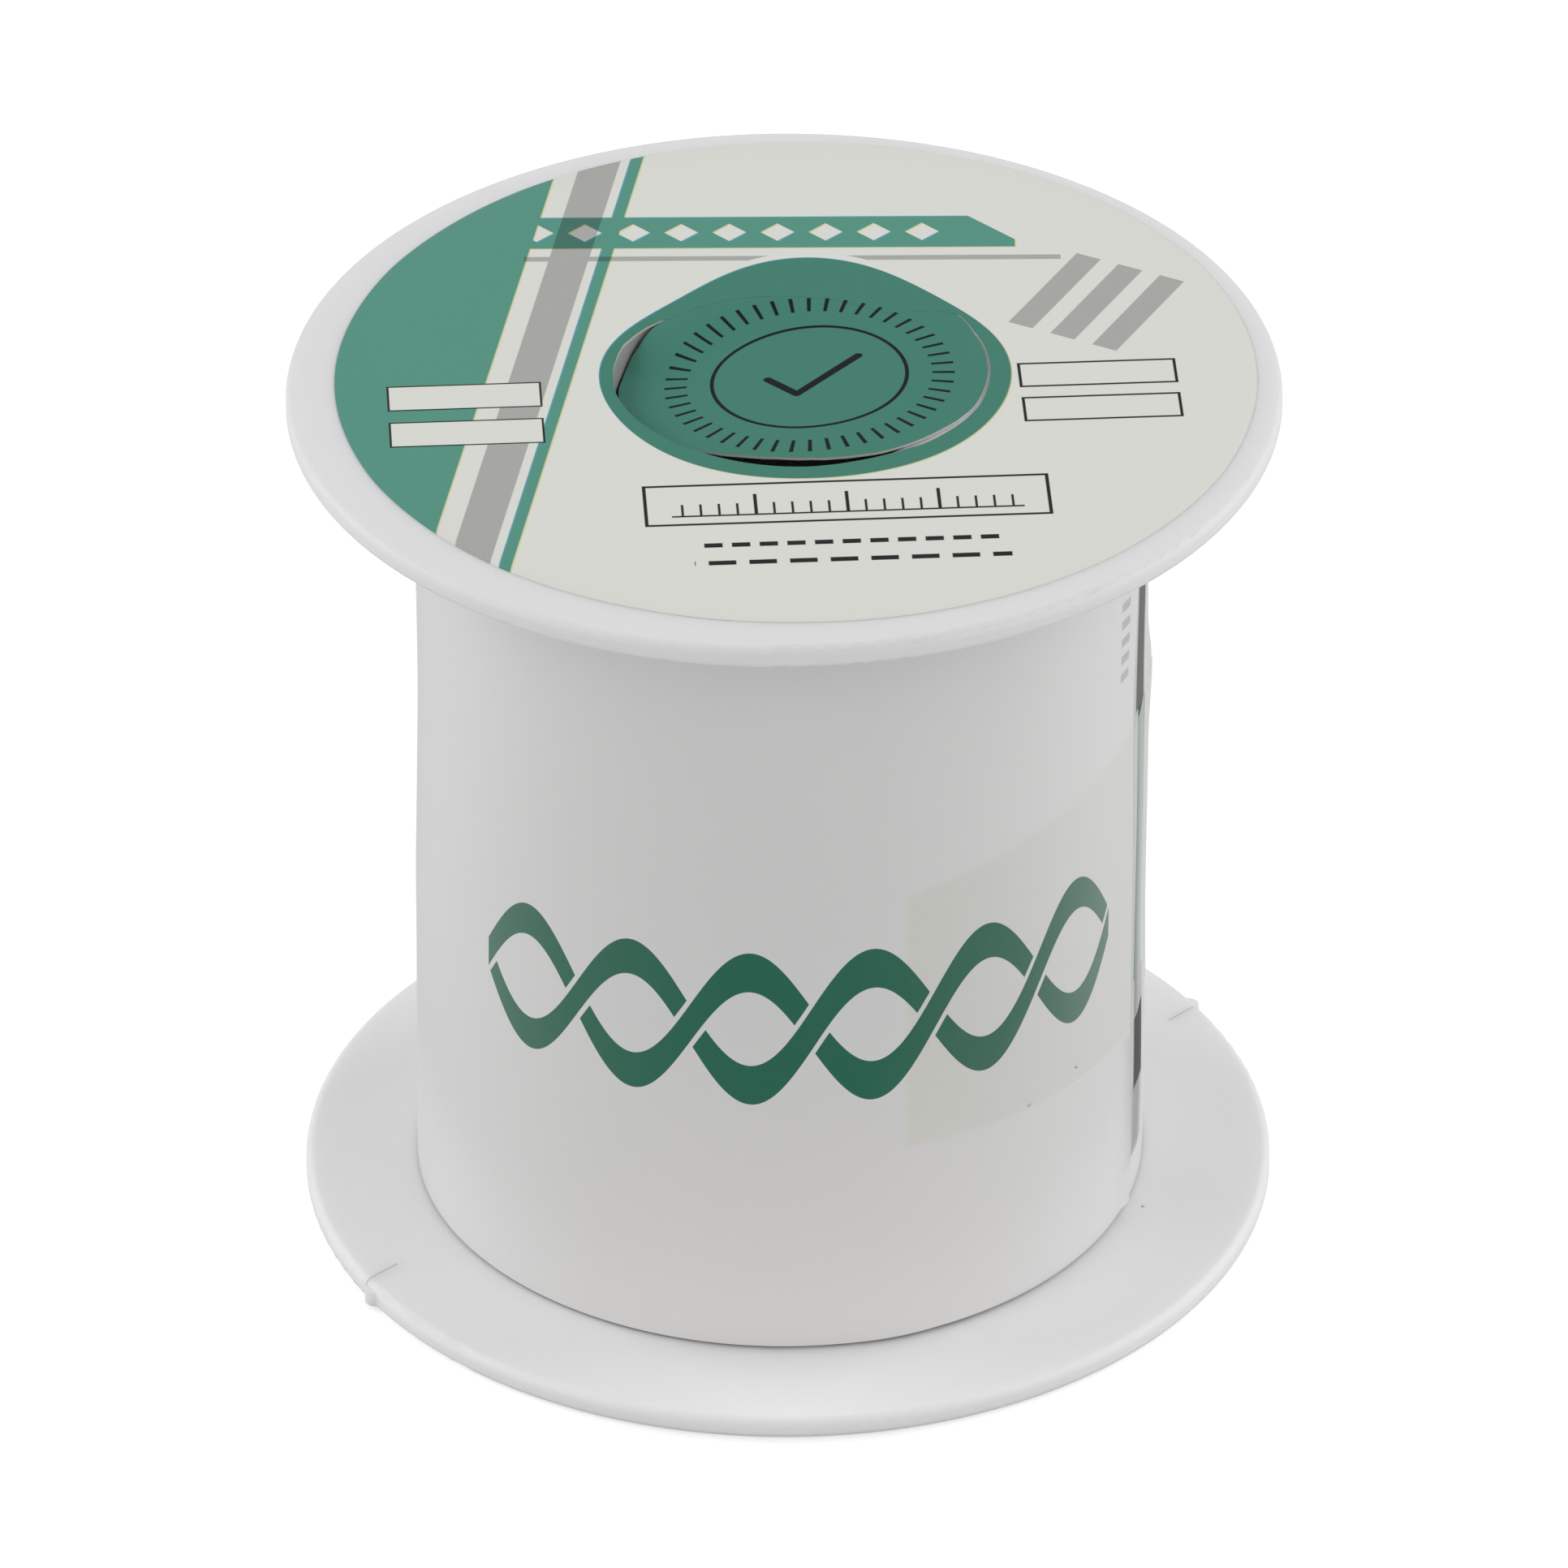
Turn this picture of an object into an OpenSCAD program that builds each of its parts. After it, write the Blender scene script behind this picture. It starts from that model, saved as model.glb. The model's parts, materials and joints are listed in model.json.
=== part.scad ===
// Solder wire spool: a plastic spool moulded in two halves that snap together
// inside the barrel, the solder wire wound on it, a paper wrapper round the
// wire held by a strip of clear tape, and a round paper label on the upper
// flange. The label's die-cut centre folds down into the spindle bore.
// Millimetres. +Z runs along the spool's axis and the origin is on that axis,
// on the face that the lower flange rests on. Azimuths are in degrees, from
// the -Y side towards +X.

/* [Spool] */
// Diameter of both flanges
flange_d = 55; // [50:0.5:64]
// Height of the spool over both flanges
spool_h = 52; // [44:0.5:64]
// Thickness of a flange
flange_t = 1.35; // [1.1:0.05:2.2]
// Rounding on the edges of a flange
rim_round = 0.5; // [0.1:0.05:0.6]
// Outer diameter of the barrel
barrel_d = 22.8; // [21.8:0.1:27]
// Fillet between the barrel and a flange
hub_fillet = 0.8; // [0.2:0.1:1.5]
// Diameter of the spindle bore
bore_d = 18.4; // [16:0.1:19.4]
// Extra radius of the bore at its two mouths
mouth_flare = 0.35; // [0.1:0.05:0.6]
// Depth of a tapered mouth
mouth_depth = 2.5; // [1.5:0.1:5]

/* [Joint of the halves] */
// Length of the spigot on the lower half
spigot_l = 6; // [4:0.5:12]
// Clearance between the spigot and its socket
joint_gap = 0.05; // [0.02:0.01:0.12]
// Radius of the snap bead's section
bead_r = 0.35; // [0.2:0.05:0.5]
// How far the snap bead stands out of the spigot
bead_h = 0.15; // [0.08:0.01:0.25]

/* [Wire catches] */
// Azimuth of the first catch; the second is opposite
catch_az = -60; // [-180:5:180]
// Length of a catch's slit
slit_l = 2.4; // [1:0.1:4]
// Width of a catch's slit
slit_w = 0.1; // [0.05:0.05:0.6]
// Angle of the slit off the radius
slit_skew = 13; // [0:1:30]
// Radius of the nub beside the slit
nub_r = 0.6; // [0.3:0.05:1]
// How far the nub stands out of the rim
nub_out = 0.3; // [0.1:0.05:0.5]

/* [Wire] */
// Diameter of the solder wire
wire_d = 0.8; // [0.6:0.05:1]
// Turns shown in the outer layer
wire_turns = 24; // [6:1:24]
// Gap between the outer turns and the wrapper
wire_gap = 0.04; // [0.03:0.01:0.3]
// Diameter of the hole that the wire starts from
start_hole_d = 1.3; // [1.1:0.1:2]
// Azimuth of that hole
start_az = 150; // [-180:5:180]

/* [Wrapper] */
// Outer diameter of the wrapper where it is one sheet thick
wrap_d = 41.1; // [36:0.1:48]
// Thickness of the wrapper's paper
paper_t = 0.13; // [0.08:0.01:0.25]
// Shift of the wrapper towards -X, taken up by its slack
wrap_slack = 0.24; // [0:0.02:0.5]
// Distance from a flange to the wrapper's edge
hem_gap = 0.9; // [0.3:0.1:2]
// Azimuth of the sheet's inner end
lap_start = 20; // [0:5:40]
// Azimuth of the sheet's outer end
lap_end = 70; // [60:5:120]

/* [Tape] */
// Width of the tape
tape_w = 18; // [10:0.5:24]
// Thickness of the tape
tape_t = 0.06; // [0.04:0.01:0.12]
// Height of the tape's middle above the resting face
tape_z = 23; // [18:0.5:30]
// Tilt of the tape
tape_tilt = 2; // [0:0.5:5]
// Azimuth where the tape starts
tape_start = 19; // [0:1:40]
// Azimuth where the tape ends
tape_end = 125; // [90:5:170]
// Pitch of the teeth along the tape's torn ends
tooth_pitch = 0.9; // [0.6:0.1:2]
// Depth of those teeth
tooth_h = 0.4; // [0.2:0.05:0.8]

/* [Label] */
// Diameter of the label
label_d = 50.9; // [46:0.1:52]
// Thickness of the label's paper
label_t = 0.15; // [0.1:0.01:0.3]
// Shift of the label off the spool's axis along X
label_x = 0.64; // [-0.8:0.02:0.8]
// Shift of the label off the spool's axis along Y
label_y = 0.6; // [-0.8:0.02:0.8]
// Diameter of the die cut round the label's centre
cut_d = 20.8; // [19.6:0.1:24]
// Shift of the die cut off the spool's axis along X
cut_x = 0.95; // [-1:0.05:1.2]
// Shift of the die cut off the spool's axis along Y
cut_y = 1.3; // [-1:0.05:1.5]

/* [Centre flap] */
// Direction from the fold to the flap's free edge, from +X towards +Y
fold_dir = 167; // [150:1:185]
// Distance of the fold from the spool's axis
fold_off = 4.5; // [3:0.1:5]
// How far the flap is pushed in at rest, in degrees
flap_tilt = 5.2; // [0:0.1:12]
// Gap between the flap's outline and the bore's wall
flap_gap = 0.4; // [0.3:0.05:0.8]

/* [Hidden] */
$fn = 96;
eps = 0.01;
// How far a cutting shape reaches past what it cuts.
over = 1;

flange_r = flange_d / 2;
barrel_r = barrel_d / 2;
bore_r = bore_d / 2;
wrap_r = wrap_d / 2;
rim_r = min(rim_round, flange_t / 2 - eps);
fillet_r = min(hub_fillet, (wrap_r - barrel_r) / 2);
nub_inset = 0.25;

// The halves part at mid height, and share the barrel's wall along the spigot.
part_z = spool_h / 2;
share_r = (bore_r + barrel_r) / 2;
spigot_r = share_r - joint_gap / 2;
socket_r = share_r + joint_gap / 2;
bead_z = part_z + spigot_l / 2;
bead_c = spigot_r + bead_h - bead_r;

// The wire fills the room between the flanges, out to the wrapper.
wire_r = wire_d / 2;
wind_r = wrap_r - paper_t - wrap_slack - wire_gap;
layer_r = wind_r - wire_r;
seat_gap = 0.03;
ring_n = 24;
side_n = 6;
// A turn's straight facets dip this far inside its true radius.
facet_sag = layer_r * (1 - cos(180 / ring_n));
core_r = wind_r - wire_d - facet_sag - seat_gap;
start_r = barrel_r + fillet_r + start_hole_d / 2;
start_inset = 0.2;

// The wrapper's lap, and the bridge of the tape over the sheet's outer end.
lap_gap = 0.03;
lap_ramp = 15;
lap_lift = paper_t + lap_gap;
sheet_step = 2.5;
tape_seat = 0.02;
tape_flat = 1;
tape_bridge = 8;
tooth_root = 0.05;
spare_teeth = 4;
wrap_z0 = flange_t + hem_gap;
wrap_z1 = spool_h - flange_t - hem_gap;

// The fold's axis lies in the middle of the label's thickness.
fold_r = label_t / 2;
fold_pos = [-fold_off * cos(fold_dir), -fold_off * sin(fold_dir), spool_h + fold_r];
hinge_gap = 0.05;
lip = 0.15;
flap_r = bore_r - flap_gap;
cut_gap = 0.1;

// ---------- Shared shapes ----------

function smooth(t) = let (u = min(max(t, 0), 1)) u * u * (3 - 2 * u);
function polar(r, az) = [r * sin(az), -r * cos(az)];

module at_azimuth(az) {
    rotate([0, 0, az - 90]) children();
}

// Half section of a disc with rounded edges, standing on z = 0.
module rounded_section(r, t, edge) {
    square([r - edge, t]);
    translate([0, edge]) square([r, t - 2 * edge]);
    for (z = [edge, t - edge]) translate([r - edge, z]) circle(r = edge);
}

// One half's flange and barrel up to the parting plane, as a half section.
module half_section() {
    rounded_section(flange_r, flange_t, rim_r);
    square([barrel_r, part_z]);
    difference() {
        translate([0, flange_t - eps]) square([barrel_r + fillet_r, fillet_r + eps]);
        translate([barrel_r + fillet_r, flange_t + fillet_r]) circle(r = fillet_r);
    }
}

module half_body() {
    rotate_extrude() intersection() {
        half_section();
        square([flange_r + over, part_z]);
    }
}

// The spindle bore with its tapered mouths, over the whole spool.
module bore_void() {
    translate([0, 0, -over]) cylinder(r = bore_r, h = spool_h + 2 * over);
    mouth_cone();
    translate([0, 0, spool_h]) mirror([0, 0, 1]) mouth_cone();
}

module mouth_cone() {
    slope = mouth_flare / mouth_depth;
    translate([0, 0, -over])
        cylinder(r1 = bore_r + mouth_flare + slope * over, r2 = bore_r, h = mouth_depth + over);
}

// Outline of a wound strip of thickness t; inner(a) is its inner radius at azimuth a.
module strip_outline(a0, a1, inner, t) {
    n = ceil((a1 - a0) / sheet_step);
    azimuths = [for (i = [0 : n]) a0 + (a1 - a0) * i / n];
    outer_pts = [for (a = azimuths) polar(inner(a) + t, a)];
    inner_pts = [for (i = [n : -1 : 0]) polar(inner(azimuths[i]), azimuths[i])];
    polygon(concat(outer_pts, inner_pts));
}

// ---------- Spool ----------

module catch_slit(az) {
    at_azimuth(az) translate([flange_r, 0, -over]) rotate([0, 0, slit_skew])
        translate([-slit_l, -slit_w / 2, 0]) cube([slit_l + 2 * over, slit_w, flange_t + 2 * over]);
}

module catch_nub(az) {
    at_azimuth(az) translate([flange_r + nub_out - nub_r, nub_r, nub_inset])
        cylinder(r = nub_r, h = flange_t - 2 * nub_inset);
}

module start_hole() {
    at_azimuth(start_az) translate([start_r, 0, -over])
        cylinder(d = start_hole_d, h = flange_t + 2 * over);
}

module spigot() {
    translate([0, 0, part_z - eps]) cylinder(r = spigot_r, h = spigot_l + eps);
    rotate_extrude() translate([bead_c, bead_z]) circle(r = bead_r);
}

module socket_void() {
    translate([0, 0, part_z - over]) cylinder(r = socket_r, h = spigot_l + over + joint_gap);
    rotate_extrude() translate([bead_c, bead_z]) circle(r = bead_r + joint_gap);
}

module lower_spool_half() {
    color("ghostwhite") difference() {
        union() {
            half_body();
            spigot();
            for (turn = [0, 180]) catch_nub(catch_az + turn);
        }
        bore_void();
        start_hole();
        for (turn = [0, 180]) catch_slit(catch_az + turn);
    }
}

module upper_spool_half() {
    color("ghostwhite") difference() {
        translate([0, 0, spool_h]) mirror([0, 0, 1]) half_body();
        bore_void();
        socket_void();
    }
}

// ---------- Wire ----------

// The filled layers under the outer one, clear of the fillets at the barrel's ends.
module wire_inner_layers() {
    in_r = barrel_r + seat_gap;
    bevel = fillet_r + seat_gap;
    z1 = spool_h - flange_t;
    color("silver") rotate_extrude() polygon([
        [in_r, flange_t + bevel], [in_r + bevel, flange_t], [core_r, flange_t],
        [core_r, z1], [in_r + bevel, z1], [in_r, z1 - bevel]
    ]);
}

// Centre line of the outer layer: a helix with a short straight run at each end.
wind_z0 = flange_t + wire_r + seat_gap;
wind_rise = spool_h - 2 * wind_z0;
wind_pitch = wind_rise / wire_turns;
ring_total = wire_turns * ring_n;
function helix_az(i) = start_az + 360 * i / ring_n;
function helix_point(i) = concat(polar(layer_r, helix_az(i)), wind_z0 + wind_pitch * i / ring_n);
function unit(v) = v / norm(v);
function helix_out(i) = concat(polar(1, helix_az(i)), 0);
function helix_dir(i) = unit([
    cos(helix_az(i)), sin(helix_az(i)), wind_pitch / (2 * PI * layer_r)
]);
function wire_ring(centre, out, side) = [
    for (k = [0 : side_n - 1]) let (t = 360 * k / side_n)
        centre + wire_r * (cos(t) * out + sin(t) * side)
];
function ring_at(i, run) = let (out = helix_out(i), dir = helix_dir(i))
    wire_ring(helix_point(i) + run * dir, out, cross(dir, out));

module wire_outer_layer() {
    rings = concat(
        [ring_at(0, -wire_d)],
        [for (i = [0 : ring_total]) ring_at(i, 0)],
        [ring_at(ring_total, wire_d)]
    );
    count = len(rings);
    points = [for (ring = rings, p = ring) p];
    walls = [
        for (i = [0 : count - 2], k = [0 : side_n - 1])
            let (a = i * side_n + k, b = i * side_n + (k + 1) % side_n)
                each [[a, b, b + side_n], [a, b + side_n, a + side_n]]
    ];
    last = (count - 1) * side_n;
    caps = [
        for (k = [1 : side_n - 2]) each [[0, k + 1, k], [last, last + k, last + k + 1]]
    ];
    color("lightgray") polyhedron(points = points, faces = concat(walls, caps));
}

// Least gap between one turn and the next, measured on the centre line's points.
least_gap = min([
    for (i = [0 : ring_total - ring_n], j = [ring_n / 2 : ring_n + ring_n / 2])
        if (i + j <= ring_total) norm(helix_point(i) - helix_point(i + j)) - wire_d
]);
echo(str("least gap between the outer turns, mm: ", least_gap));

// The wire's first end, cut off just inside the hole in the lower flange.
module wire_start() {
    color("lightgray") at_azimuth(start_az) translate([start_r, 0, start_inset])
        cylinder(d = wire_d, h = flange_t - start_inset);
}

// ---------- Wrapper and tape ----------

// Inner radius of the sheet, which climbs over its own inner end.
sheet_inner = function (a)
    wrap_r - paper_t + lap_lift * smooth((a - 360 - lap_start + lap_ramp) / lap_ramp);

// Inner radius of the tape: over the lap first, then down to the single sheet.
tape_inner = function (a)
    wrap_r + tape_seat + lap_lift * min(
        smooth((a - lap_start + lap_ramp) / lap_ramp),
        1 - smooth((a - lap_end - tape_flat) / tape_bridge)
    );

module paper_wrapper() {
    color("white") translate([-wrap_slack, 0, wrap_z0]) linear_extrude(wrap_z1 - wrap_z0)
        strip_outline(lap_start, 360 + lap_end, sheet_inner, paper_t);
}

// What the dispenser's blade takes off the tape's end at azimuth az. The tape
// lies on the side that dir names: 1 for rising azimuth, -1 for falling.
module torn_edge(az, dir) {
    count = ceil(tape_w / tooth_pitch) + spare_teeth;
    half = count * tooth_pitch / 2;
    saw = [for (i = [-count : count]) [i * tooth_pitch / 2, tooth_root + tooth_h * (i % 2 == 0 ? 0 : 1)]];
    at_azimuth(az) translate([wrap_r, 0, tape_z]) mirror([0, dir < 0 ? 1 : 0, 0]) rotate([0, 90, 0])
        linear_extrude(4 * over, center = true)
            polygon(concat([[half, -over], [-half, -over]], saw));
}

module wrapper_tape() {
    mid = (tape_start + tape_end) / 2;
    wide = 3 * wrap_r;
    color([0.9, 0.9, 0.82, 0.5]) translate([-wrap_slack, 0, 0]) difference() {
        intersection() {
            linear_extrude(spool_h) strip_outline(tape_start, tape_end, tape_inner, tape_t);
            translate([0, 0, tape_z]) at_azimuth(mid) rotate([tape_tilt, 0, 0])
                cube([wide, wide, tape_w], center = true);
        }
        torn_edge(tape_start, 1);
        torn_edge(tape_end, -1);
    }
}

// ---------- Label and flap ----------

module about_fold(angle) {
    translate(fold_pos) rotate([0, 0, fold_dir]) rotate([0, angle, 0])
        rotate([0, 0, -fold_dir]) translate(-fold_pos) children();
}

// Slab of the label's thickness on the bore's side of a line past the fold.
module beyond_fold(gap, z0, z1) {
    rotate([0, 0, fold_dir]) translate([-fold_off - gap, -flange_r, z0])
        cube([flange_d, flange_d, z1 - z0]);
}

// The part of the die-cut disc that lies over the bore and turns about the fold.
module flap_area(bore_side, cut_side, gap, z0, z1) {
    intersection() {
        translate([0, 0, z0]) cylinder(r = bore_side, h = z1 - z0);
        translate([cut_x, cut_y, z0]) cylinder(r = cut_side, h = z1 - z0);
        beyond_fold(gap, z0, z1);
    }
}

module top_label() {
    color("honeydew") difference() {
        translate([label_x, label_y, spool_h]) cylinder(d = label_d, h = label_t);
        flap_area(bore_r + lip, cut_d / 2, fold_r + hinge_gap, spool_h - over, spool_h + over);
    }
}

module centre_flap() {
    color("seagreen") about_fold(flap_tilt)
        flap_area(flap_r, cut_d / 2 - cut_gap, 0, spool_h, spool_h + label_t);
}

lower_spool_half();
upper_spool_half();
wire_inner_layers();
wire_outer_layer();
wire_start();
paper_wrapper();
wrapper_tape();
top_label();
centre_flap();
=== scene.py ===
"""Looks of a solder wire spool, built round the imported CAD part.

The spool stands on its lower flange. A coated paper wrapper goes round the close-wound wire and is
held by clear tape, and a round printed label lies on the upper flange. The label's die-cut centre
is pushed a little into the spindle bore. Lengths are in metres, and in millimetres where a comment
says mm. Azimuths run in degrees from the -Y side towards +X.
"""

import json
import math

import bmesh
import bpy
from mathutils import Matrix, Vector


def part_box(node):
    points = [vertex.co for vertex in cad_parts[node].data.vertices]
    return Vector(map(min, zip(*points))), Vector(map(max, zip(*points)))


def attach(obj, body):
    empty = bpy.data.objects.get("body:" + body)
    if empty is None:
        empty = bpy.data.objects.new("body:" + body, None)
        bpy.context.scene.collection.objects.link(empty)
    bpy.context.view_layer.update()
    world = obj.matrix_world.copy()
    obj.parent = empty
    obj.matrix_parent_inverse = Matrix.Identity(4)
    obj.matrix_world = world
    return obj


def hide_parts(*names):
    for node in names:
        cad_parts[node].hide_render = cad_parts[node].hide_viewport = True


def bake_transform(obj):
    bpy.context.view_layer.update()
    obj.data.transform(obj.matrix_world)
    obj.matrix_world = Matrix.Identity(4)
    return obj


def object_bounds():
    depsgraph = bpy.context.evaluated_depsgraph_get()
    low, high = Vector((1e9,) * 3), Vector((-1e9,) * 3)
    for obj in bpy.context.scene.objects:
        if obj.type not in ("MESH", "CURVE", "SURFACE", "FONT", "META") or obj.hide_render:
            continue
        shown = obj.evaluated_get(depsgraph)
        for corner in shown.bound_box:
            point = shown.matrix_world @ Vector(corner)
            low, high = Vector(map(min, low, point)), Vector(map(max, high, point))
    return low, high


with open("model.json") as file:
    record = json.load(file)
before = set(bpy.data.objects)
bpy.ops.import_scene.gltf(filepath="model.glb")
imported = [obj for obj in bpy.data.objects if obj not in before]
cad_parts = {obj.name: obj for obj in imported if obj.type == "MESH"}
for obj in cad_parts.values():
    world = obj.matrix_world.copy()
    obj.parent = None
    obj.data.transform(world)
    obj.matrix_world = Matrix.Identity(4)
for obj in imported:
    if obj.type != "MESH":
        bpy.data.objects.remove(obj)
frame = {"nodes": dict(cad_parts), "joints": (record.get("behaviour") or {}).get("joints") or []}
cad_low, cad_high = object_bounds()

MM = 0.001

# ---------- Sizes, from the frame and as in the part's source ----------

label_low, label_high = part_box("top_label")
LABEL_CENTRE = (label_low + label_high) / 2
LABEL_R = (label_high.x - label_low.x) / 2
LABEL_TOP = label_high.z
LABEL_T = label_high.z - label_low.z
CUT_CENTRE = Vector((0.95, 1.3, 0)) * MM

FOLD = frame["joints"][0]
FOLD_POINT = Vector(FOLD["pos_m"])
FOLD_AXIS = Vector(FOLD["axis"]).normalized()
# Level, from the fold towards the pushed-in side
FOLD_AWAY = Vector((FOLD_AXIS.y, -FOLD_AXIS.x, 0)).normalized()
FLAP_TILT = math.radians(-FOLD["range_deg"][0])

wrap_low, wrap_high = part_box("paper_wrapper")
WRAP_SHIFT = (wrap_low.x + wrap_high.x) / 2
WRAP_R = (wrap_high.x - wrap_low.x) / 2
# The paper reaches a little lower than its solid
WRAP_LOW, WRAP_HIGH = wrap_low.z - 0.72 * MM, wrap_high.z
PAPER_T = 0.13 * MM
# Azimuth of the sheet's inner end, and of its outer end one turn later
LAP_START, LAP_END = 20, 70.8
# The sheet climbs over its inner end: degrees before that end, and height
LAP_RAMP, LAP_LIFT = 15, 0.16 * MM

# The tape's ends. Its edges start TAPE_LOW and TAPE_HIGH mm up, and over each TAPE_RUN degrees the
# lower one falls by TAPE_FALL mm and the upper one rises by TAPE_RISE mm, for TAPE_LEVEL runs.
TAPE_START, TAPE_END, TAPE_RUN, TAPE_LEVEL = 19, 125, 49, 1.2
TAPE_LOW, TAPE_FALL = 14.3, 0.4
TAPE_HIGH, TAPE_RISE = 30.9, 2.6
TAPE_T = 0.06 * MM
# The torn ends' teeth, which fade out over one part in TOOTH_PARTS of the tape
TOOTH_PITCH, TOOTH_DEPTH, TOOTH_PARTS = 0.85 * MM, 0.42 * MM, 12

wind_low, wind_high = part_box("wire_outer_layer")
WIRE_R = 0.4 * MM
WIRE_PITCH = 0.806 * MM
# The turns lie this much further in than their solid, clear of the paper
WIRE_INSET = 0.13 * MM


# ---------- Small helpers ----------


def ease(t):
    """Smooth step from 0 to 1."""
    t = min(max(t, 0.0), 1.0)
    return t * t * (3 - 2 * t)


def bump(x, middle, width):
    """A smooth hump of height 1 round middle."""
    return math.exp(-(((x - middle) / width) ** 2))


def round_bump(azimuth, middle, width):
    """A smooth hump of height 1 round an azimuth, all in degrees."""
    return bump((azimuth - middle + 180) % 360 - 180, 0, width)


def even_steps(count, first=0, last=1):
    """Numbers from first to last in that many even steps."""
    return [first + (last - first) * i / count for i in range(count + 1)]


def at_azimuth(radius, azimuth, z):
    """Point at an azimuth in degrees."""
    a = math.radians(azimuth)
    return Vector((radius * math.sin(a), -radius * math.cos(a), z))


def add_to_scene(thing):
    """Links an object to the scene and returns it."""
    bpy.context.scene.collection.objects.link(thing)
    return thing


# ---------- Camera and light ----------


def make_camera():
    """The camera looks down on the spool from the front through a long lens."""
    elevation, roll = math.radians(32.9708), -0.00514
    distance, target = 0.791999, Vector((-0.0001185, 0, 0.0255912))
    back = Vector((0, -math.cos(elevation), math.sin(elevation)))
    level, lift = Vector((1, 0, 0)), Vector((0, math.sin(elevation), math.cos(elevation)))
    right = math.cos(roll) * level + math.sin(roll) * lift
    up = math.cos(roll) * lift - math.sin(roll) * level
    turn = Matrix((right, up, back)).transposed().to_4x4()
    data = bpy.data.cameras.new("camera")
    data.sensor_width, data.lens = 36, 323.757
    data.clip_start, data.clip_end = 0.01, 20
    camera = add_to_scene(bpy.data.objects.new("camera", data))
    camera.matrix_world = Matrix.Translation(target + distance * back) @ turn
    bpy.context.scene.camera = camera


# Name, place in metres and watts of each soft square light, and the side of them all
LIGHTS = (
    ("left_side", (-0.75, 0.25, 0.45), 3.35),
    ("right_side", (0.75, 0.25, 0.45), 3.4),
    ("left_front", (-0.6, -0.55, 0.45), 1.25),
    ("right_front", (0.6, -0.55, 0.45), 1.45),
)
LIGHT_SIDE = 0.6
# Strength of the pale surroundings, and of the floor's glow, which only the camera sees
SKY = 0.39
FLOOR_GLOW = 0.5


def make_light(name, place, watts):
    """A soft square light at place, turned to the middle of the spool."""
    data = bpy.data.lights.new(name, "AREA")
    data.shape, data.size, data.energy = "SQUARE", LIGHT_SIDE, watts
    light = add_to_scene(bpy.data.objects.new(name, data))
    light.location = place
    aim = Vector((0, 0, cad_high.z / 2)) - Vector(place)
    light.rotation_euler = aim.to_track_quat("-Z", "Y").to_euler()


def make_room():
    """Pale surroundings and the soft studio lights."""
    world = bpy.data.worlds.new("pale_room")
    world.use_nodes = True
    sky = world.node_tree.nodes["Background"]
    sky.inputs["Color"].default_value = (1.0, 1.0, 1.0, 1)
    sky.inputs["Strength"].default_value = SKY
    bpy.context.scene.world = world
    for light in LIGHTS:
        make_light(*light)
    bpy.context.scene.view_settings.view_transform = "Standard"


# ---------- Shader maths ----------


class Field:
    """A number that changes over a surface, written as ordinary maths and kept as shader nodes."""

    def __init__(self, tree, socket):
        self.tree, self.socket = tree, socket

    def made(self, operation, *others, clamp=False):
        """What a Math node makes of this field and the others."""
        return maths(self.tree, operation, self, *others, clamp=clamp)

    def __add__(self, other):
        return self.made("ADD", other)

    def __sub__(self, other):
        return self.made("SUBTRACT", other)

    def __rsub__(self, other):
        return maths(self.tree, "SUBTRACT", other, self)

    def __mul__(self, other):
        return self.made("MULTIPLY", other)

    def __truediv__(self, other):
        return self.made("DIVIDE", other)

    def __abs__(self):
        return self.made("ABSOLUTE")


def maths(tree, operation, *values, clamp=False):
    """One Math node fed by fields or plain numbers."""
    made = tree.nodes.new("ShaderNodeMath")
    made.operation, made.use_clamp = operation, clamp
    for socket, value in zip(made.inputs, values):
        feed(tree, socket, value)
    return Field(tree, made.outputs[0])


def feed(tree, socket, value):
    """Links a field or socket into socket, or sets a plain value on it."""
    if isinstance(value, Field):
        value = value.socket
    if isinstance(value, bpy.types.NodeSocket):
        tree.links.new(value, socket)
    else:
        socket.default_value = value


def feed_all(tree, target, **inputs):
    """Feeds several inputs of a node; an input's name has _ for each space."""
    for name, value in inputs.items():
        feed(tree, target.inputs[name.replace("_", " ")], value)


def node(tree, kind, settings=None, **inputs):
    """A new node with its settings and inputs."""
    made = tree.nodes.new(kind)
    for name, value in (settings or {}).items():
        setattr(made, name, value)
    feed_all(tree, made, **inputs)
    return made


def axes_of(tree, place):
    """The x, y and z of a place."""
    split = node(tree, "ShaderNodeSeparateXYZ", Vector=place)
    return [Field(tree, socket) for socket in split.outputs]


def vector_maths(tree, operation, *places, **inputs):
    """What a Vector Math node makes of places."""
    made = node(tree, "ShaderNodeVectorMath", {"operation": operation}, **inputs)
    for socket, place in zip(made.inputs, places):
        feed(tree, socket, place)
    return made.outputs["Vector"]


def noise(tree, place, **inputs):
    """Soft noise from 0 to 1."""
    return Field(tree, node(tree, "ShaderNodeTexNoise", Vector=place, **inputs).outputs["Fac"])


def size_of(x, y):
    """Distance from the origin."""
    return (x * x + y * y).made("SQRT")


def larger(first, *others):
    """The largest of several fields."""
    for other in others:
        first = first.made("MAXIMUM", other)
    return first


def smaller(first, *others):
    """The smallest of several fields, which joins shapes given by their distances."""
    for other in others:
        first = first.made("MINIMUM", other)
    return first


def fill(distance, blur=0.04):
    """1 where a signed distance in mm is below 0, with an edge as soft as ink on paper."""
    return distance.made("MULTIPLY_ADD", -1 / blur, 0.5, clamp=True)


def fading(distance, share, slope):
    """share at no distance, less by slope for each mm, and kept from 0 to 1."""
    return (distance * -slope).made("ADD", share, clamp=True)


def turned(x, y, degrees):
    """The place x, y seen in axes turned by degrees."""
    c, s = math.cos(math.radians(degrees)), math.sin(math.radians(degrees))
    return x * c + y * s, y * c - x * s


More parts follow.
